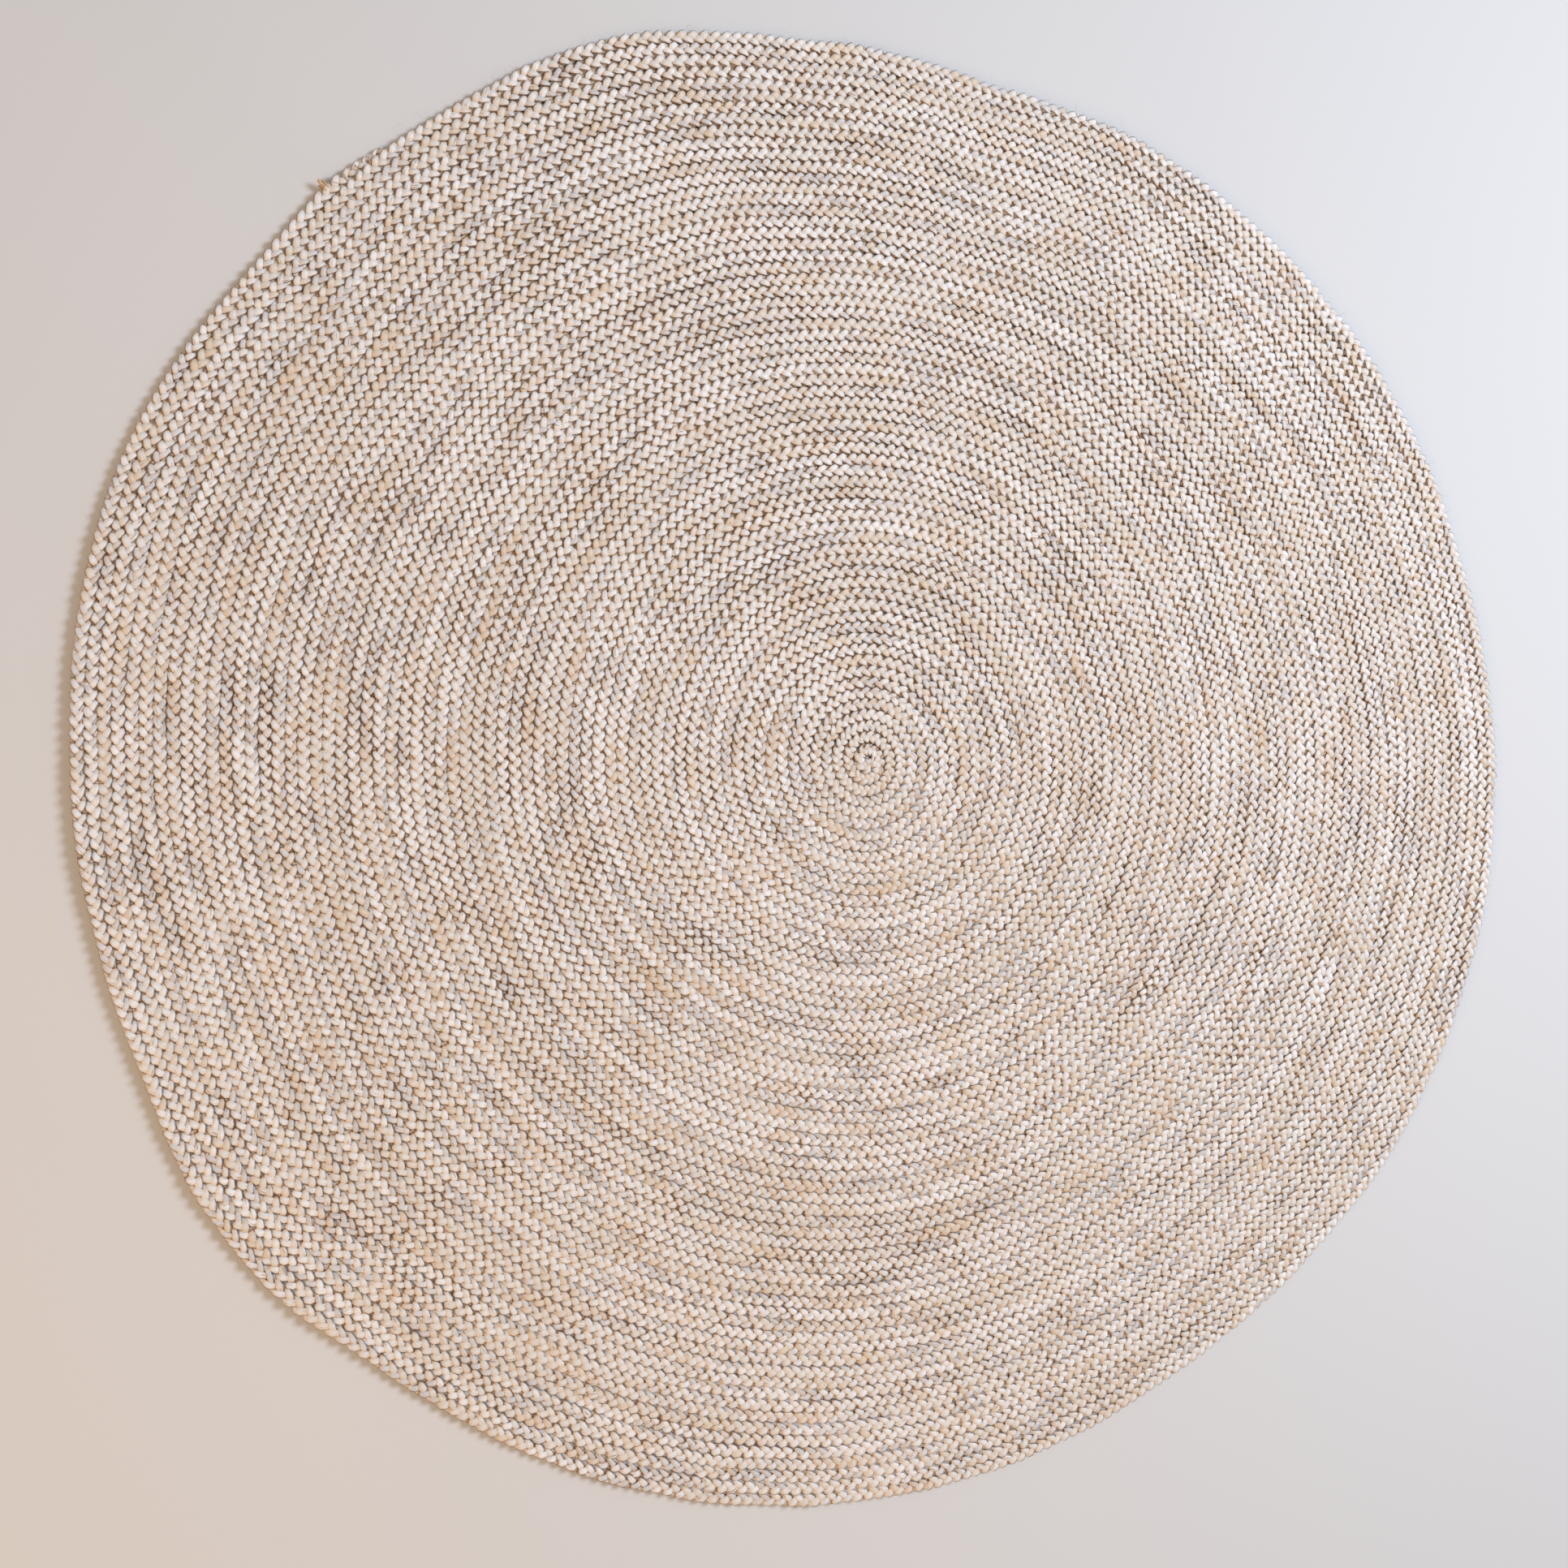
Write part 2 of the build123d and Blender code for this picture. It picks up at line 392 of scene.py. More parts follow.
def strand_tree():
    """One strand of the plait: it swings from side to side, and rises and dives twice as often."""
    tree = new_tree("plait strand", PLAIT_INPUTS + (("Share", "NodeSocketFloat"),))
    given = add_node(tree, "NodeGroupInput").outputs
    phase, along, taper = (
        add_node(tree, "GeometryNodeInputNamedAttribute", {"Name": label}, data_type="FLOAT")
        for label in ("phase", "along", "taper")
    )
    side = add_node(tree, "GeometryNodeInputNamedAttribute", {"Name": "side"}, data_type="FLOAT_VECTOR")

    # Angle of the weave, and its sines
    weave = add_node(tree, "ShaderNodeMath", {0: phase, 1: given["Share"]}, operation="ADD")
    angle = add_node(tree, "ShaderNodeMath", {0: weave, 1: 2 * math.pi}, operation="MULTIPLY")
    swing = add_node(tree, "ShaderNodeMath", {0: angle}, operation="SINE")
    double = add_node(
        tree, "ShaderNodeMath", {0: angle, 1: 2.0, 2: given["Lean"]}, operation="MULTIPLY_ADD"
    )
    wave = add_node(tree, "ShaderNodeMath", {0: double}, operation="SINE")
    steep = add_node(tree, "ShaderNodeMath", {0: wave, 1: FLATNESS}, operation="MULTIPLY")
    rise = add_node(tree, "ShaderNodeClamp", {"Value": steep, "Min": -1.0, "Max": 1.0})
    crown = add_node(tree, "ShaderNodeMath", {0: rise}, operation="ABSOLUTE")

    # Each half turn of the doubled angle is one leaf, on top or underneath, with a size of its own
    halves = add_node(tree, "ShaderNodeMath", {0: double, 1: math.pi}, operation="DIVIDE")
    leaf = add_node(tree, "ShaderNodeMath", {0: halves}, operation="FLOOR")
    chance = add_node(
        tree,
        "FunctionNodeRandomValue",
        {"Min": -1.0, "Max": 1.0, "ID": leaf, "Seed": given["Seed"]},
        data_type="FLOAT",
    )
    own_size = add_node(
        tree, "ShaderNodeMath", {0: chance, 1: given["Unevenness"], 2: 1.0}, operation="MULTIPLY_ADD"
    )
    swell = add_node(
        tree, "ShaderNodeMath", {0: crown, 1: 1 - DIVE_SIZE, 2: DIVE_SIZE}, operation="MULTIPLY_ADD"
    )
    edge = add_node(tree, "ShaderNodeMath", {0: swing, 1: swing}, operation="MULTIPLY")
    sharp_edge = add_node(tree, "ShaderNodeMath", {0: edge, 1: edge}, operation="MULTIPLY")
    squeeze = add_node(
        tree, "ShaderNodeMath", {0: sharp_edge, 1: SQUEEZE, 2: 1.0}, operation="MULTIPLY_ADD"
    )
    size = swell
    for share in (own_size, squeeze, taper):
        size = add_node(tree, "ShaderNodeMath", {0: size, 1: share}, operation="MULTIPLY")

    # Small wander of the strand
    where = add_node(tree, "ShaderNodeCombineXYZ", {"X": along, "Y": given["Share"], "Z": given["Seed"]})
    noise = add_node(
        tree, "ShaderNodeTexNoise", {"Vector": where, "Scale": WANDER_SCALE, "Detail": 1.0}
    ).outputs["Color"]
    centred = add_node(
        tree, "ShaderNodeVectorMath", {0: noise, 1: (0.5, 0.5, 0.5)}, operation="SUBTRACT"
    )
    wander = add_node(
        tree, "ShaderNodeVectorMath", {0: centred, "Scale": STRAND_WANDER}, operation="SCALE"
    )

    across = add_node(tree, "ShaderNodeMath", {0: swing, 1: given["Sideways Swing"]}, operation="MULTIPLY")
    narrowed = add_node(tree, "ShaderNodeMath", {0: across, 1: taper}, operation="MULTIPLY")
    height = add_node(tree, "ShaderNodeMath", {0: rise, 1: given["Rise"]}, operation="MULTIPLY")
    lowered = add_node(tree, "ShaderNodeMath", {0: height, 1: taper}, operation="MULTIPLY")
    upward = add_node(tree, "ShaderNodeCombineXYZ", {"Z": lowered})
    sideways = add_node(tree, "ShaderNodeVectorMath", {0: side, "Scale": narrowed}, operation="SCALE")
    together = add_node(tree, "ShaderNodeVectorMath", {0: sideways, 1: upward}, operation="ADD")
    offset = add_node(tree, "ShaderNodeVectorMath", {0: together, 1: wander}, operation="ADD")
    placed = add_node(tree, "GeometryNodeSetPosition", {"Geometry": given["Geometry"], "Offset": offset})
    upright = add_node(tree, "GeometryNodeSetCurveNormal", {"Curve": placed}, mode="Z_UP")
    both = add_node(tree, "ShaderNodeMath", {0: swing, 1: rise}, operation="MULTIPLY")
    roll = add_node(tree, "ShaderNodeMath", {0: both, 1: given["Roll"]}, operation="MULTIPLY")
    line = add_node(tree, "GeometryNodeSetCurveTilt", {"Curve": upright, "Tilt": roll})

    # What the material reads: the leaf's own chance, how high the strand is, and the way along it
    run = add_node(
        tree, "ShaderNodeMath", {0: given["Share"], 1: STRAND_OFFSET, 2: along}, operation="MULTIPLY_ADD"
    )
    for label, value in (("leaf_tone", chance), ("crown", crown), ("run", run)):
        line = add_node(
            tree,
            "GeometryNodeStoreNamedAttribute",
            {"Geometry": line, "Name": label, "Value": value},
            data_type="FLOAT",
            domain="POINT",
        )

    # Oval section
    ring = add_node(tree, "GeometryNodeCurvePrimitiveCircle", {"Resolution": SECTION_SIDES, "Radius": 0.5})
    oval_size = add_node(
        tree, "ShaderNodeCombineXYZ", {"X": given["Strand Width"], "Y": given["Strand Thickness"], "Z": 1.0}
    )
    oval = add_node(tree, "GeometryNodeTransform", {"Geometry": ring, "Scale": oval_size})
    place = add_node(tree, "GeometryNodeInputPosition")
    marked = add_node(
        tree,
        "GeometryNodeStoreNamedAttribute",
        {"Geometry": oval, "Name": "ring", "Value": place},
        data_type="FLOAT_VECTOR",
        domain="POINT",
    )
    tube = add_node(
        tree,
        "GeometryNodeCurveToMesh",
        {"Curve": line, "Profile Curve": marked, "Scale": size, "Fill Caps": True},
    )
    add_node(tree, "NodeGroupOutput", {"Geometry": tube})
    return tree


def plait_tree(material):
    """Three strands on one line of points, a third of the weave apart."""
    strand = strand_tree()
    tree = new_tree("three strand plait", PLAIT_INPUTS)
    given = add_node(tree, "NodeGroupInput").outputs
    inputs = {name: given[name] for name, kind in PLAIT_INPUTS}
    inputs["Geometry"] = add_node(tree, "GeometryNodeMeshToCurve", {"Mesh": given["Geometry"]})
    joined = add_node(tree, "GeometryNodeJoinGeometry")
    for number in range(STRANDS):
        inputs["Share"] = number / STRANDS
        one = add_node(tree, "GeometryNodeGroup", inputs, node_tree=strand)
        tree.links.new(one.outputs["Geometry"], joined.inputs["Geometry"])
    smooth = add_node(tree, "GeometryNodeSetShadeSmooth", {"Geometry": joined})
    real = add_node(tree, "GeometryNodeRealizeInstances", {"Geometry": smooth})
    dressed = add_node(tree, "GeometryNodeSetMaterial", {"Geometry": real, "Material": material})
    add_node(tree, "NodeGroupOutput", {"Geometry": dressed})
    return tree


def plait_values(sizes):
    """What the plait's tree is given."""
    return {
        "Strand Width": sizes.strand_width,
        "Strand Thickness": sizes.strand_thickness,
        "Sideways Swing": sizes.sideways_swing,
        "Rise": sizes.rise,
        "Unevenness": sizes.unevenness,
        "Lean": LEAN,
        "Roll": ROLL,
        "Seed": sizes.seed,
    }


def points_along(start, end, spacing):
    """Evenly spaced lengths from start to end."""
    return np.linspace(start, end, max(2, round((end - start) / spacing) + 1))


# ---------------------------------------------------------------------------
# Thread and loose fibres
# ---------------------------------------------------------------------------

THREAD_INPUTS = (("Geometry", "NodeSocketGeometry"), ("Thickness", "NodeSocketFloat"))
THREAD_SIDES = 3
FIBRE_INPUTS = (
    ("Geometry", "NodeSocketGeometry"),
    ("Length", "NodeSocketFloat"),
    ("Thickness Share", "NodeSocketFloat"),
    ("Spread", "NodeSocketFloat"),
    ("Seed", "NodeSocketInt"),
)
FIBRE_BEND = 3  # straight runs in one bent fibre
FIBRE_MIDDLE = (0.6, 0.05, 0.05)  # points of the bend, for a fibre of length 1
FIBRE_END = (0.9, 0.35, 0.15)
SPREAD_LOW = (-1.5, -0.35, -0.8)  # how far fibres turn from the way they face, in radians
SPREAD_HIGH = (1.5, 0.15, 0.8)
SHORTEST_FIBRE = 0.5
LONGEST_FIBRE = 1.4


def thread_tree(material):
    """A thread through each string of points."""
    tree = new_tree("thread on a line", THREAD_INPUTS)
    given = add_node(tree, "NodeGroupInput").outputs
    line = add_node(tree, "GeometryNodeMeshToCurve", {"Mesh": given["Geometry"]})
    radius = add_node(tree, "ShaderNodeMath", {0: given["Thickness"], 1: 0.5}, operation="MULTIPLY")
    ring = add_node(
        tree, "GeometryNodeCurvePrimitiveCircle", {"Resolution": THREAD_SIDES, "Radius": radius}
    )
    tube = add_node(
        tree, "GeometryNodeCurveToMesh", {"Curve": line, "Profile Curve": ring, "Fill Caps": True}
    )
    smooth = add_node(tree, "GeometryNodeSetShadeSmooth", {"Geometry": tube})
    real = add_node(tree, "GeometryNodeRealizeInstances", {"Geometry": smooth})
    dressed = add_node(tree, "GeometryNodeSetMaterial", {"Geometry": real, "Material": material})
    add_node(tree, "NodeGroupOutput", {"Geometry": dressed})
    return tree


def fibre_tree(material):
    """A bent fibre that stands out of the plait at each point, towards its facing."""
    tree = new_tree("loose fibres", FIBRE_INPUTS)
    given = add_node(tree, "NodeGroupInput").outputs
    bend = add_node(
        tree,
        "GeometryNodeCurveQuadraticBezier",
        {"Resolution": FIBRE_BEND, "Start": (0, 0, 0), "Middle": FIBRE_MIDDLE, "End": FIBRE_END},
    )
    thickness = given["Thickness Share"]
    ring = add_node(
        tree, "GeometryNodeCurvePrimitiveCircle", {"Resolution": THREAD_SIDES, "Radius": thickness}
    )
    hair = add_node(
        tree, "GeometryNodeCurveToMesh", {"Curve": bend, "Profile Curve": ring, "Fill Caps": True}
    )
    facing = add_node(tree, "GeometryNodeInputNamedAttribute", {"Name": "facing"}, data_type="FLOAT")
    chance = add_node(
        tree,
        "FunctionNodeRandomValue",
        {"Min": SPREAD_LOW, "Max": SPREAD_HIGH, "Seed": given["Seed"]},
        data_type="FLOAT_VECTOR",
    )
    towards = add_node(tree, "ShaderNodeCombineXYZ", {"Z": facing})
    spread = add_node(
        tree, "ShaderNodeVectorMath", {0: chance, "Scale": given["Spread"]}, operation="SCALE"
    )
    turned = add_node(tree, "ShaderNodeVectorMath", {0: spread, 1: towards}, operation="ADD")
    rotation = add_node(tree, "FunctionNodeEulerToRotation", {"Euler": turned})
    shortest, longest = (
        add_node(tree, "ShaderNodeMath", {0: given["Length"], 1: share}, operation="MULTIPLY")
        for share in (SHORTEST_FIBRE, LONGEST_FIBRE)
    )
    length = add_node(
        tree,
        "FunctionNodeRandomValue",
        {"Min": shortest, "Max": longest, "Seed": given["Seed"]},
        data_type="FLOAT",
    )
    hairs = add_node(
        tree,
        "GeometryNodeInstanceOnPoints",
        {"Points": given["Geometry"], "Instance": hair, "Rotation": rotation, "Scale": length},
    )
    real = add_node(tree, "GeometryNodeRealizeInstances", {"Geometry": hairs})
    smooth = add_node(tree, "GeometryNodeSetShadeSmooth", {"Geometry": real})
    dressed = add_node(tree, "GeometryNodeSetMaterial", {"Geometry": smooth, "Material": material})
    add_node(tree, "NodeGroupOutput", {"Geometry": dressed})
    return tree


# ---------------------------------------------------------------------------
# Materials
# ---------------------------------------------------------------------------

FIBRE_WIDTH = 0.9 * MM  # bundles of fibres; single fibres are too fine to show
FIBRE_RUN = 14 * MM
TWIST = 0.3  # how far the fibres cross the strand for each unit along it
STRETCH_RUN = 110 * MM  # length over which a hank of jute keeps its colour
YARN_RUN = STRETCH_RUN / 1.7  # the same for a single strand
ROW_RUN = 600 * MM  # length over which a row keeps its paleness
SEAM_SHADE_RUN = 260 * MM  # length over which the painted shade in the seams stays deeper or fainter
GOLDEN_FROM, GOLDEN_TO = 0.52, 0.68  # share of the noise at which gold starts, and is full
SPECK_LENGTH = 8 * MM
SPECK_WIDTH = 2.2 * MM
LEAF_CONTRAST = 0.6  # how much creamier one leaf is than the next
BUMP_HEIGHT = 0.5 * MM


def opaque(colour):
    """RGBA of a colour that lets nothing through."""
    return (*colour, 1.0)


def jute_material(name, colours, width):
    """Natural jute, spun and plaited: pale and streaky with a soft shine, and golden in stretches, with
    painted warm shade where the strands dive under one another and painted shade between them."""
    material = bpy.data.materials.new(name)
    material.use_nodes = True
    tree = material.node_tree
    tree.nodes.clear()
    tone, crown, ring, run, along = (
        add_node(tree, "ShaderNodeAttribute", attribute_name=label)
        for label in ("leaf_tone", "crown", "ring", "run", "along")
    )
    tone, crown, run, along = (node.outputs["Fac"] for node in (tone, crown, run, along))
    section = add_node(tree, "ShaderNodeSeparateXYZ", {"Vector": ring.outputs["Vector"]}).outputs

    # Fibres run along the strand with a slight twist
    lengthwise = add_node(tree, "ShaderNodeMath", {0: run, 1: 1 / FIBRE_RUN}, operation="MULTIPLY")
    twisted = add_node(
        tree, "ShaderNodeMath", {0: run, 1: TWIST, 2: section["X"]}, operation="MULTIPLY_ADD"
    )
    crosswise = add_node(tree, "ShaderNodeMath", {0: twisted, 1: 1 / FIBRE_WIDTH}, operation="MULTIPLY")
    depthwise = add_node(
        tree, "ShaderNodeMath", {0: section["Y"], 1: 1 / FIBRE_WIDTH}, operation="MULTIPLY"
    )
    fibre_place = add_node(tree, "ShaderNodeCombineXYZ", {"X": lengthwise, "Y": crosswise, "Z": depthwise})
    streak = add_node(
        tree, "ShaderNodeTexNoise", {"Vector": fibre_place, "Scale": 1.0, "Detail": 3.0, "Roughness": 0.6}
    ).outputs["Fac"]

    # Paleness of the row, and of the leaf
    row_noise = add_node(
        tree,
        "ShaderNodeTexNoise",
        {"W": along, "Scale": 1 / ROW_RUN, "Detail": 2.0},
        noise_dimensions="1D",
    ).outputs["Fac"]
    row = add_node(
        tree,
        "ShaderNodeMapRange",
        {"Value": row_noise, "From Min": 0.3, "From Max": 0.7, "To Min": -0.3, "To Max": 0.95},
    )
    creamy = add_node(
        tree,
        "ShaderNodeMath",
        {0: tone, 1: LEAF_CONTRAST, 2: row},
        operation="MULTIPLY_ADD",
        use_clamp=True,
    )
    greyish = add_node(
        tree, "ShaderNodeMath", {0: tone, 1: -1.2, 2: -0.35}, operation="MULTIPLY_ADD", use_clamp=True
    )
    ground = add_node(
        tree,
        "ShaderNodeMix",
        {"Factor": creamy, "A": opaque(colours.pale), "B": opaque(colours.cream)},
        data_type="RGBA",
    )
    cooled = add_node(
        tree, "ShaderNodeMix", {"Factor": greyish, "A": ground, "B": opaque(colours.grey)}, data_type="RGBA"
    )

    # Golden stretches: some take the whole plait, some a single strand
    hank = add_node(
        tree,
        "ShaderNodeTexNoise",
        {"W": along, "Scale": 1 / STRETCH_RUN, "Detail": 1.0},
        noise_dimensions="1D",
    ).outputs["Fac"]
    yarn = add_node(
        tree,
        "ShaderNodeTexNoise",
        {"W": run, "Scale": 1 / YARN_RUN, "Detail": 1.0},
        noise_dimensions="1D",
    ).outputs["Fac"]
    batch = add_node(tree, "ShaderNodeMix", {"Factor": 0.6, "A": hank, "B": yarn}, data_type="FLOAT")
    gold = add_node(
        tree,
        "ShaderNodeMapRange",
        {"Value": batch, "From Min": GOLDEN_FROM, "From Max": GOLDEN_TO, "To Max": 0.5},
    )
    golden = opaque(colours.golden)
    gilded = add_node(
        tree, "ShaderNodeMix", {"Factor": gold, "A": cooled, "B": golden}, data_type="RGBA"
    )

    # Specks of bark, mostly where a strand dives
    speck_size = (1 / SPECK_LENGTH, 1 / SPECK_WIDTH, 1 / SPECK_WIDTH)
    strand_place = add_node(
        tree, "ShaderNodeCombineXYZ", {"X": run, "Y": section["X"], "Z": section["Y"]}
    )
    speck_place = add_node(
        tree, "ShaderNodeVectorMath", {0: strand_place, 1: speck_size}, operation="MULTIPLY"
    )
    speck = add_node(
        tree, "ShaderNodeTexNoise", {"Vector": speck_place, "Scale": 1.0, "Detail": 1.0}
    ).outputs["Fac"]
    rarer = add_node(tree, "ShaderNodeMath", {0: crown, 1: -0.07, 2: speck}, operation="MULTIPLY_ADD")
    bark = add_node(
        tree, "ShaderNodeMapRange", {"Value": rarer, "From Min": 0.61, "From Max": 0.68, "To Max": 0.55}
    )
    specked = add_node(
        tree, "ShaderNodeMix", {"Factor": bark, "A": gilded, "B": opaque(colours.bark)}, data_type="RGBA"
    )

    # Streaks are a little darker or lighter than the fibres round them
    streak_tone = add_node(
        tree,
        "ShaderNodeMapRange",
        {"Value": streak, "From Min": 0.3, "From Max": 0.7, "To Min": 0.86, "To Max": 1.08},
    )
    streaked = add_node(
        tree, "ShaderNodeVectorMath", {0: specked.outputs[2], "Scale": streak_tone}, operation="SCALE"
    )

    # Painted shade: a golden tint where a strand dives under its neighbours, for the warm shade there
    tucked = add_node(
        tree, "ShaderNodeMapRange", {"Value": crown, "From Min": 0.95, "From Max": 0.25, "To Max": 0.8}
    )
    dive_shaded = add_node(
        tree, "ShaderNodeMix", {"Factor": tucked, "A": streaked, "B": golden}, data_type="RGBA"
    )

    # Painted shade between the strands: the crevice colour darkens the strands' sides and the places where
    # they dive, deeper in some stretches than in others
    half_width = add_node(tree, "ShaderNodeMath", {0: section["X"], 1: 2 / width}, operation="MULTIPLY")
    edge = add_node(tree, "ShaderNodeMath", {0: half_width}, operation="ABSOLUTE")
    inner = add_node(
        tree, "ShaderNodeMapRange", {"Value": edge, "From Min": 0.90, "From Max": 0.62, "To Min": 0.12}
    )
    exposed = add_node(tree, "ShaderNodeMath", {0: crown, 1: inner}, operation="MULTIPLY")
    seam_shade_noise = add_node(
        tree,
        "ShaderNodeTexNoise",
        {"W": along, "Scale": 1 / SEAM_SHADE_RUN, "Detail": 2.0},
        noise_dimensions="1D",
    ).outputs["Fac"]
    seam_shade_reach = add_node(
        tree,
        "ShaderNodeMapRange",
        {"Value": seam_shade_noise, "From Min": 0.4, "From Max": 0.72, "To Min": 0.32, "To Max": 0.8},
    )
    unshaded = add_node(
        tree,
        "ShaderNodeMapRange",
        {"Value": exposed, "From Min": 0.0, "From Max": seam_shade_reach},
        interpolation_type="SMOOTHSTEP",
    )
    shaded = add_node(
        tree,
        "ShaderNodeMix",
        {"Factor": unshaded, "A": opaque(colours.crevice_shade), "B": dive_shaded},
        data_type="RGBA",
    )

    # The fibres stand up a little, and shine softly
    bump = add_node(tree, "ShaderNodeBump", {"Strength": 0.6, "Distance": BUMP_HEIGHT, "Height": streak})
    shader = add_node(
        tree,
        "ShaderNodeBsdfPrincipled",
        {"Base Color": shaded, "Roughness": 0.55, "IOR": 1.5, "Sheen Weight": 0.1, "Normal": bump},
    )
    add_node(tree, "ShaderNodeOutputMaterial", {"Surface": shader})
    return material


def thread_material(name, colour):
    """Fine spun jute thread, with its twist drawn coarse enough to show."""
    material = bpy.data.materials.new(name)
    material.use_nodes = True
    tree = material.node_tree
    shader = tree.nodes["Principled BSDF"]
    coordinates = add_node(tree, "ShaderNodeTexCoord").outputs["Object"]
    twist = add_node(
        tree, "ShaderNodeTexNoise", {"Vector": coordinates, "Scale": 1 / FIBRE_WIDTH, "Detail": 2.0}
    ).outputs["Fac"]
    tone = add_node(
        tree,
        "ShaderNodeMapRange",
        {"Value": twist, "From Min": 0.3, "From Max": 0.7, "To Min": 0.75, "To Max": 1.1},
    )
    streaked = add_node(tree, "ShaderNodeVectorMath", {0: tuple(colour), "Scale": tone}, operation="SCALE")
    bump = add_node(tree, "ShaderNodeBump", {"Strength": 0.5, "Distance": 0.2 * MM, "Height": twist})
    tree.links.new(streaked.outputs["Vector"], shader.inputs["Base Color"])
    tree.links.new(bump.outputs["Normal"], shader.inputs["Normal"])
    shader.inputs["Roughness"].default_value = 0.75
    return material


def kept_material(name, make, *details):
    """The material of this name, made on its first use."""
    return bpy.data.materials.get(name) or make(name, *details)


# ---------------------------------------------------------------------------
# Pieces
# ---------------------------------------------------------------------------

TIP_RUN = 11 * MM  # tucked run of the plait before its first half-turn
TIP_SIZE = 0.8
FOLD_SIZE = 1.18  # the plait bulges where it folds round its own tip
TAIL_TIP_SIZE = 0.4
TUFT_FIBRES = 16
TUFT_LENGTH = 9 * MM
TUFT_DIRECTION = math.radians(112)
TUFT_PLACE = (0.14, 0.27)  # tail lengths before the tail, from the tuft's one end to the other
TUFT_ROWS = (-0.1, 0.3)  # rows outwards of the plait's middle
TUFT_ROOTS = (0.6, 0.9)  # height of its roots, as shares of the plait's thickness
TUFT_THICKNESS = 0.11  # radius of a bundle of fibres, as a share of its length
TUFT_SPREAD = 0.4
STITCHES_IN_TAIL = 4
POINTS_IN_STITCH = 7
FIRST_STITCH = 0.6  # place of the first stitch, in spaces between two stitches
STITCH_START = 0.75  # a stitch begins this many rows inwards of the tail's middle
STITCH_REACH = 0.2  # and is this many rows longer than the tail is wide
STITCH_SLANT = 3 * MM  # how far a stitch moves on along the tail as it crosses it
STITCH_PROUD = 0.3 * MM  # how far its middle stands above the plait
STITCH_ARCH = 0.6  # below 1, a stitch is flatter on top than a sine
ZIGZAG = ROW_PITCH / 5  # how far the thread goes into the plait at each side of the seam
FIRST_SEWN_HALF_TURN = 3
THREAD_HEIGHT = 0.4  # share of the plait's thickness at which the thread lies
LOOSE_ON_TOP = 1500
LOOSE_AT_RIM = 420
LOOSE_THICKNESS = 0.016  # radius of a stray fibre, as a share of its length
LOOSE_AREA = 0.97  # share of the rug's area on which they stand on top
LOOSE_INSET = 0.2  # rows inwards of the rim where those of the rim are rooted
LOOSE_ROOT = 0.8  # height of the roots on top, as a share of the plait's thickness
RIM_ROOTS = (0.3, 0.9)  # the same at the rim, lowest and highest
FUZZY_SIDE = math.radians(182)  # the rim is fuzziest in this direction
FUZZY_WIDTH = 0.35  # radians
FUZZY_SHARE = 0.55  # share of the rim's fibres that stand on that side
INNER_CROWDING = 0.6  # share of the point spacing kept at the first turn, where the bends are tight
CROWDED_TURNS = 20


def plait_material(context):
    """The jute that the plait and both its ends are made of."""
    sizes = context.scene.rug_sizes
    return kept_material(
        "jute_spun_plaited", jute_material, context.scene.rug_colours, sizes.strand_width
    )


class RUG_OT_plait(bpy.types.Operator):
    """Makes the plait, one piece for each span of turns"""

    bl_idname = "rug.plait"
    bl_label = "Make the plait"

    def execute(self, context):
        sizes = context.scene.rug_sizes
        tree = plait_tree(plait_material(context))
        for node in PLAIT_NODES:
            first, last = turns_of(node)
            spacing = sizes.point_spacing * min(1, INNER_CROWDING + first / CROWDED_TURNS)
            source = plait_path(node, points_along(*span_of(node), spacing), sizes)
            piece = run_tree("braid_" + node.removeprefix("plait_"), source, tree, plait_values(sizes))
            finish_piece(piece, [node])
        return {"FINISHED"}


class RUG_OT_ends(bpy.types.Operator):
    """Makes the folded start of the plait and its tapered end"""

    bl_idname = "rug.ends"
    bl_label = "Make the plait's two ends"

    def execute(self, context):
        sizes = context.scene.rug_sizes
        tree = plait_tree(plait_material(context))
        spacing = sizes.point_spacing / 2

        along = points_along(-TIP_RUN, length_before(1), spacing)
        taper = np.interp(along, [-TIP_RUN, 0, along[-1]], [TIP_SIZE, FOLD_SIZE, 1])
        source = plait_path("tip", along, sizes, taper=taper)
        piece = run_tree("folded_tip", source, tree, plait_values(sizes))
        finish_piece(piece, ["centre_start"])

        along = points_along(TAIL_START, TAIL_START + TAIL_LENGTH, spacing)
        taper = np.linspace(1, TAIL_TIP_SIZE, len(along))
        sideways = (taper - 1) * ROW_PITCH / 2
        source = plait_path("tail", along, sizes, sideways, taper)
        piece = run_tree("tucked_tail", source, tree, plait_values(sizes))
        finish_piece(piece, ["tail_end"])
        return {"FINISHED"}


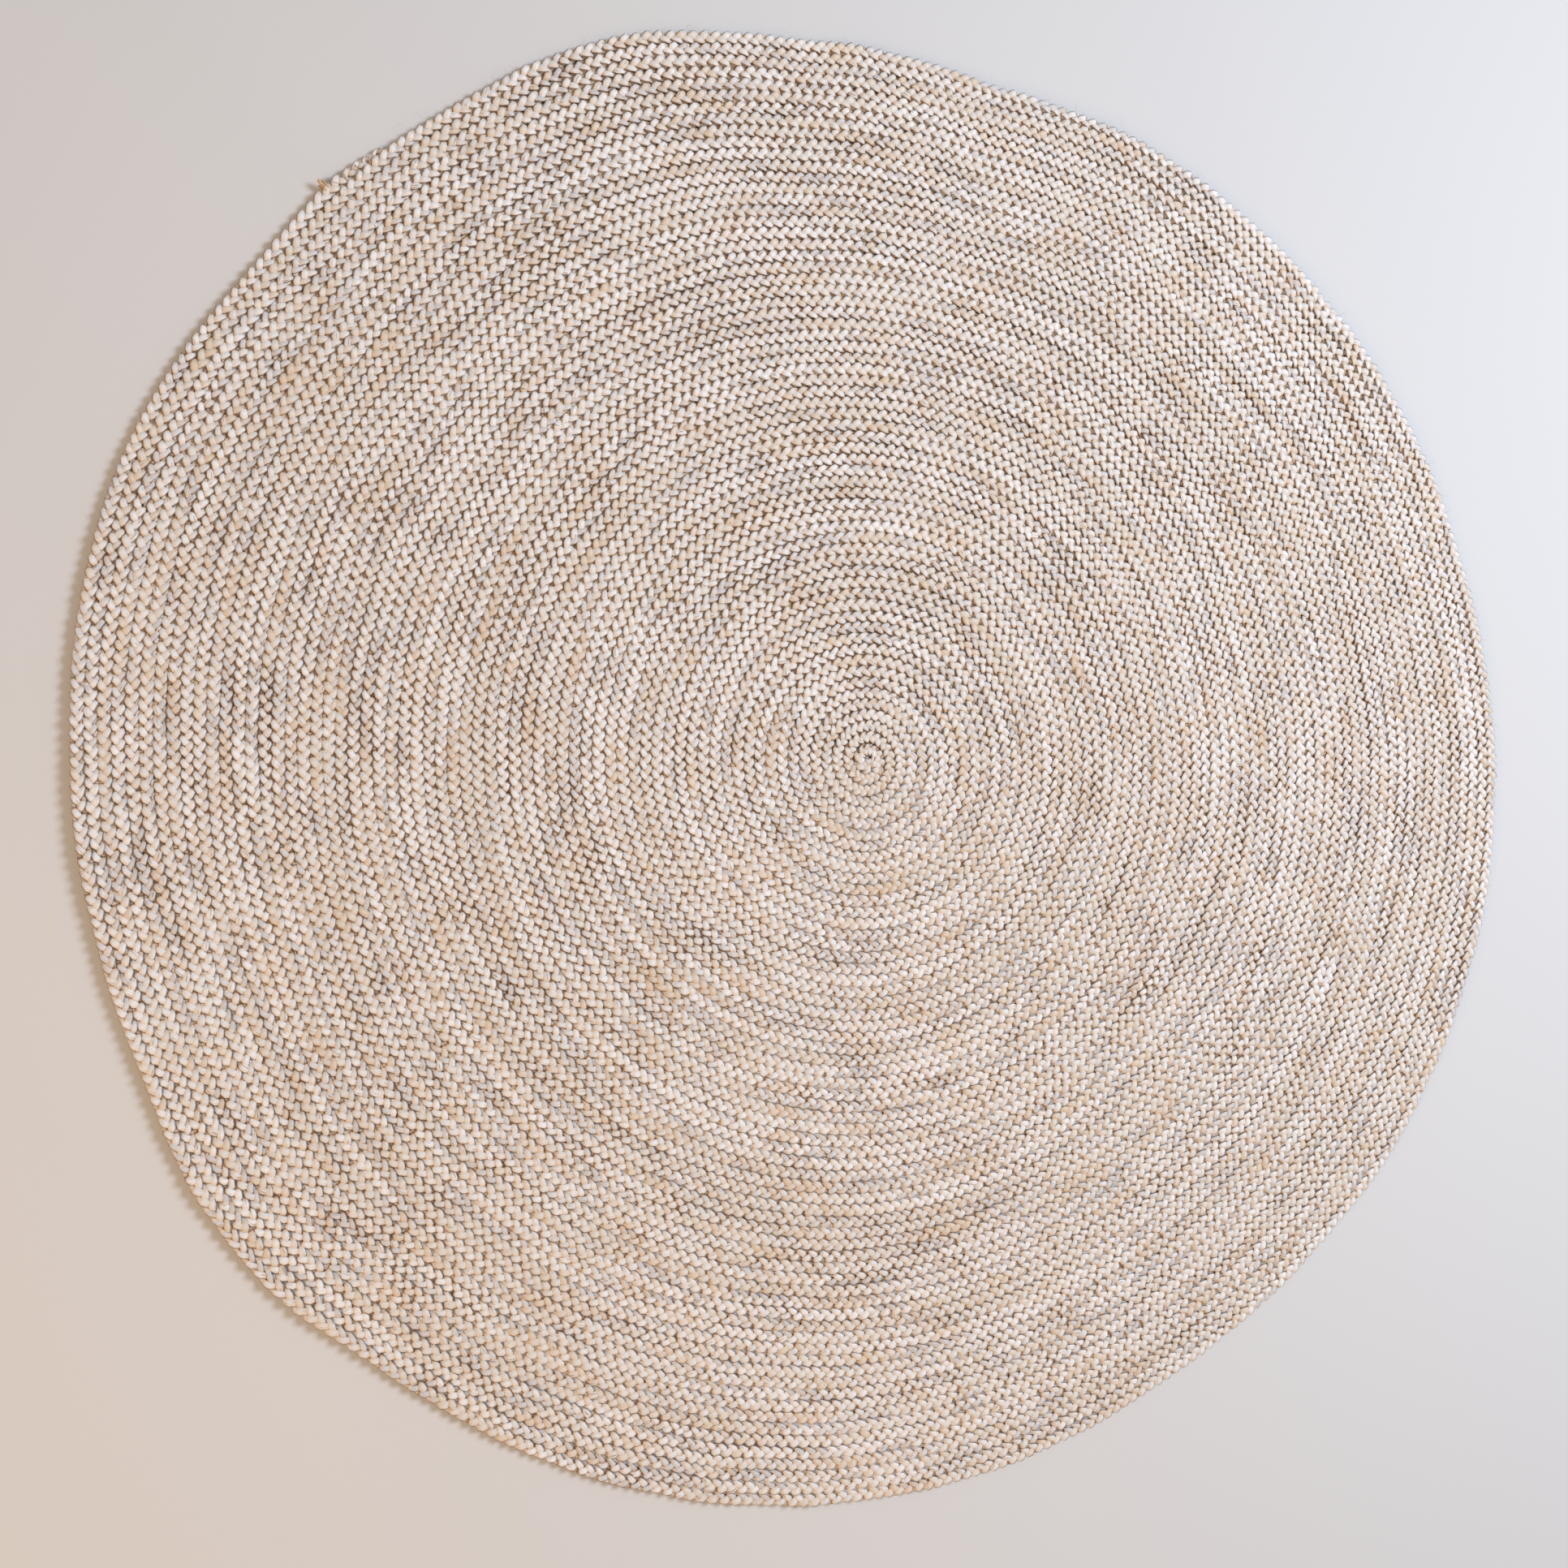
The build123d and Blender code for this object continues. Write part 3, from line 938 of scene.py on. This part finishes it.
class RUG_OT_thread(bpy.types.Operator):
    """Makes the sewing thread, which zigzags in the seam between the turns, and the tail's stitches"""

    bl_idname = "rug.thread"
    bl_label = "Make the sewing thread"

    def execute(self, context):
        sizes = context.scene.rug_sizes
        colours = context.scene.rug_colours
        material = kept_material("jute_thread_fine", thread_material, colours.thread)
        tree = thread_tree(material)
        values = {"Thickness": sizes.thread_thickness}
        for node in THREAD_NODES:
            start, end = span_of(node)
            start = max(start, length_before(FIRST_SEWN_HALF_TURN))
            along = points_along(start, end, sizes.stitch_length / 2)
            across = -ROW_PITCH / 2 + ZIGZAG * (-1.0) ** np.arange(len(along))
            x, y, lift = lie_of(*spiral_point(along, across))
            places = np.stack([x, y, THREAD_HEIGHT * PLAIT_THICKNESS + lift * sizes.rim_lift], 1)
            source = string_of_points(node, places, chain(len(along)), {})
            piece = run_tree("sewing_" + node.removeprefix("seam_thread_"), source, tree, values)
            finish_piece(piece, [node])

        arch = np.linspace(0, 1, POINTS_IN_STITCH)
        places, edges = [], []
        for number in range(STITCHES_IN_TAIL):
            share = (number + FIRST_STITCH) / STITCHES_IN_TAIL
            size = 1 + (TAIL_TIP_SIZE - 1) * share
            across = (arch * (STITCH_REACH + size) - STITCH_START) * ROW_PITCH
            along = TAIL_START + share * TAIL_LENGTH + STITCH_SLANT * arch
            x, y, lift = lie_of(*spiral_point(along, across))
            height = MID_HEIGHT + (MID_HEIGHT + STITCH_PROUD) * np.sin(math.pi * arch) ** STITCH_ARCH
            height = height - (1 - size) * MID_HEIGHT * arch
            places.append(np.stack([x, y, height + lift * sizes.rim_lift], 1))
            edges += chain(POINTS_IN_STITCH, number * POINTS_IN_STITCH)
        source = string_of_points("stitches", np.concatenate(places), edges, {})
        piece = run_tree("tail_binding", source, tree, values)
        finish_piece(piece, ["tail_stitches"])
        return {"FINISHED"}


class RUG_OT_fibres(bpy.types.Operator):
    """Makes the frayed ends at the tail, and the stray fibres on the plait and round the rim"""

    bl_idname = "rug.fibres"
    bl_label = "Make the loose fibres"

    def execute(self, context):
        sizes = context.scene.rug_sizes
        colours = context.scene.rug_colours
        random = np.random.default_rng(sizes.seed)
        pale = kept_material("jute_fibre_loose", thread_material, colours.cream)
        golden = kept_material("jute_fibre_golden", thread_material, colours.golden)

        # The cut ends of the strands stand out where the tail is tucked in
        along = TAIL_START - random.uniform(*TUFT_PLACE, TUFT_FIBRES) * TAIL_LENGTH
        x, y, lift = lie_of(*spiral_point(along, random.uniform(*TUFT_ROWS, TUFT_FIBRES) * ROW_PITCH))
        height = random.uniform(*TUFT_ROOTS, TUFT_FIBRES) * PLAIT_THICKNESS + lift * sizes.rim_lift
        facing = np.full(TUFT_FIBRES, TUFT_DIRECTION)
        source = string_of_points("tuft", np.stack([x, y, height], 1), [], {"facing": facing})
        values = {
            "Length": TUFT_LENGTH,
            "Thickness Share": TUFT_THICKNESS,
            "Spread": TUFT_SPREAD,
            "Seed": sizes.seed,
        }
        piece = run_tree("frayed_ends", source, fibre_tree(golden), values)
        finish_piece(piece)

        tree = fibre_tree(pale)
        values = {
            "Length": sizes.fibre_length,
            "Thickness Share": LOOSE_THICKNESS,
            "Spread": 1.0,
            "Seed": sizes.seed,
        }
        near = random.normal(FUZZY_SIDE, FUZZY_WIDTH, LOOSE_AT_RIM)
        anywhere = random.uniform(0, 2 * math.pi, LOOSE_AT_RIM)
        facing = np.where(random.random(LOOSE_AT_RIM) < FUZZY_SHARE, near, anywhere)
        radius = RIM_RADIUS - LOOSE_INSET * ROW_PITCH
        x, y, lift = lie_of(radius * np.cos(facing), radius * np.sin(facing))
        height = random.uniform(*RIM_ROOTS, LOOSE_AT_RIM) * PLAIT_THICKNESS + lift * sizes.rim_lift
        source = string_of_points("rim", np.stack([x, y, height], 1), [], {"facing": facing})
        finish_piece(run_tree("stray_fibres_rim", source, tree, values))

        radius = RIM_RADIUS * np.sqrt(random.uniform(0, LOOSE_AREA, LOOSE_ON_TOP))
        facing = random.uniform(0, 2 * math.pi, LOOSE_ON_TOP)
        x, y, lift = lie_of(radius * np.cos(facing), radius * np.sin(facing))
        height = LOOSE_ROOT * PLAIT_THICKNESS + lift * sizes.rim_lift
        facing = random.uniform(0, 2 * math.pi, LOOSE_ON_TOP)
        source = string_of_points("top", np.stack([x, y, height], 1), [], {"facing": facing})
        finish_piece(run_tree("stray_fibres_top", source, tree, values))
        return {"FINISHED"}


# ---------------------------------------------------------------------------
# Stage
# ---------------------------------------------------------------------------

FLOOR_HALF = 6.0  # metres
FLOOR_COLOUR = "D9DADB"
# Name, place in metres, size in metres, power in watts and colour
LIGHTS = (
    ("key_light", (1.9, 0.7, 2.6), 1.1, 81, "EAF2FF"),
    ("fill_light", (-2.2, -1.4, 2.2), 2.5, 48, "FFC472"),
)
AIR_COLOUR = "F2F4F7"
AIR_STRENGTH = 0.36
# The camera's place in metres, the directions of its view's right and upward sides, and its lens in mm
CAMERA_PLACE = (-0.460, -0.0447, 1.466)
CAMERA_RIGHT = (0.96881, -0.00177, 0.24780)
CAMERA_UP = (-0.00177, 0.99990, 0.01405)
CAMERA_LENS = 34.47


class RUG_OT_stage(bpy.types.Operator):
    """Makes the floor, the lights and the camera"""

    bl_idname = "rug.stage"
    bl_label = "Make the stage"

    def execute(self, context):
        mesh = bpy.data.meshes.new("studio_floor")
        corners = [(x, y, 0) for x, y in ((-1, -1), (1, -1), (1, 1), (-1, 1))]
        mesh.from_pydata([Vector(corner) * FLOOR_HALF for corner in corners], [], [(0, 1, 2, 3)])
        floor = bpy.data.objects.new("studio_floor", mesh)
        context.scene.collection.objects.link(floor)
        material = bpy.data.materials.new("painted_floor_pale")
        material.use_nodes = True
        shader = material.node_tree.nodes["Principled BSDF"]
        shader.inputs["Base Color"].default_value = linear(FLOOR_COLOUR)
        shader.inputs["Roughness"].default_value = 0.8
        mesh.materials.append(material)
        for name, place, size, power, colour in LIGHTS:
            light = bpy.data.lights.new(name, "AREA")
            light.size = size
            light.energy = power
            light.color = linear(colour)[:3]
            lamp = bpy.data.objects.new(name, light)
            lamp.location = place
            lamp.rotation_euler = Vector(place).to_track_quat("Z", "Y").to_euler()
            context.scene.collection.objects.link(lamp)
        world = bpy.data.worlds.new("studio_air")
        world.use_nodes = True
        world.node_tree.nodes["Background"].inputs["Color"].default_value = linear(AIR_COLOUR)
        world.node_tree.nodes["Background"].inputs["Strength"].default_value = AIR_STRENGTH
        context.scene.world = world
        camera_data = bpy.data.cameras.new("view_camera")
        camera_data.sensor_width = 36
        camera_data.lens = CAMERA_LENS
        camera = bpy.data.objects.new("view_camera", camera_data)
        right = Vector(CAMERA_RIGHT)
        upward = Vector(CAMERA_UP)
        axes = Matrix((right, upward, right.cross(upward))).transposed().to_4x4()
        camera.matrix_world = Matrix.Translation(CAMERA_PLACE) @ axes
        context.scene.collection.objects.link(camera)
        context.scene.camera = camera
        context.scene.view_settings.view_transform = "Standard"
        return {"FINISHED"}


class RUG_PT_panel(bpy.types.Panel):
    """Lists the rug's sizes and colours, and the steps that build it"""

    bl_label = "Jute Rug"
    bl_idname = "RUG_PT_panel"
    bl_space_type = "VIEW_3D"
    bl_region_type = "UI"
    bl_category = "Jute Rug"

    def draw(self, context):
        for group in (context.scene.rug_sizes, context.scene.rug_colours):
            for name in type(group).__annotations__:
                self.layout.prop(group, name)
        for step in STEPS:
            self.layout.operator(step.bl_idname)


STEPS = (RUG_OT_plait, RUG_OT_ends, RUG_OT_thread, RUG_OT_fibres, RUG_OT_stage)
CLASSES = (RugSizes, RugColours, *STEPS, RUG_PT_panel)


def register():
    for cls in CLASSES:
        bpy.utils.register_class(cls)
    bpy.types.Scene.rug_sizes = PointerProperty(type=RugSizes)
    bpy.types.Scene.rug_colours = PointerProperty(type=RugColours)


def unregister():
    del bpy.types.Scene.rug_colours
    del bpy.types.Scene.rug_sizes
    for cls in reversed(CLASSES):
        bpy.utils.unregister_class(cls)


def main():
    register()
    bpy.ops.rug.plait()
    bpy.ops.rug.ends()
    bpy.ops.rug.thread()
    bpy.ops.rug.fibres()
    bpy.ops.rug.stage()


if __name__ == "__main__":
    main()
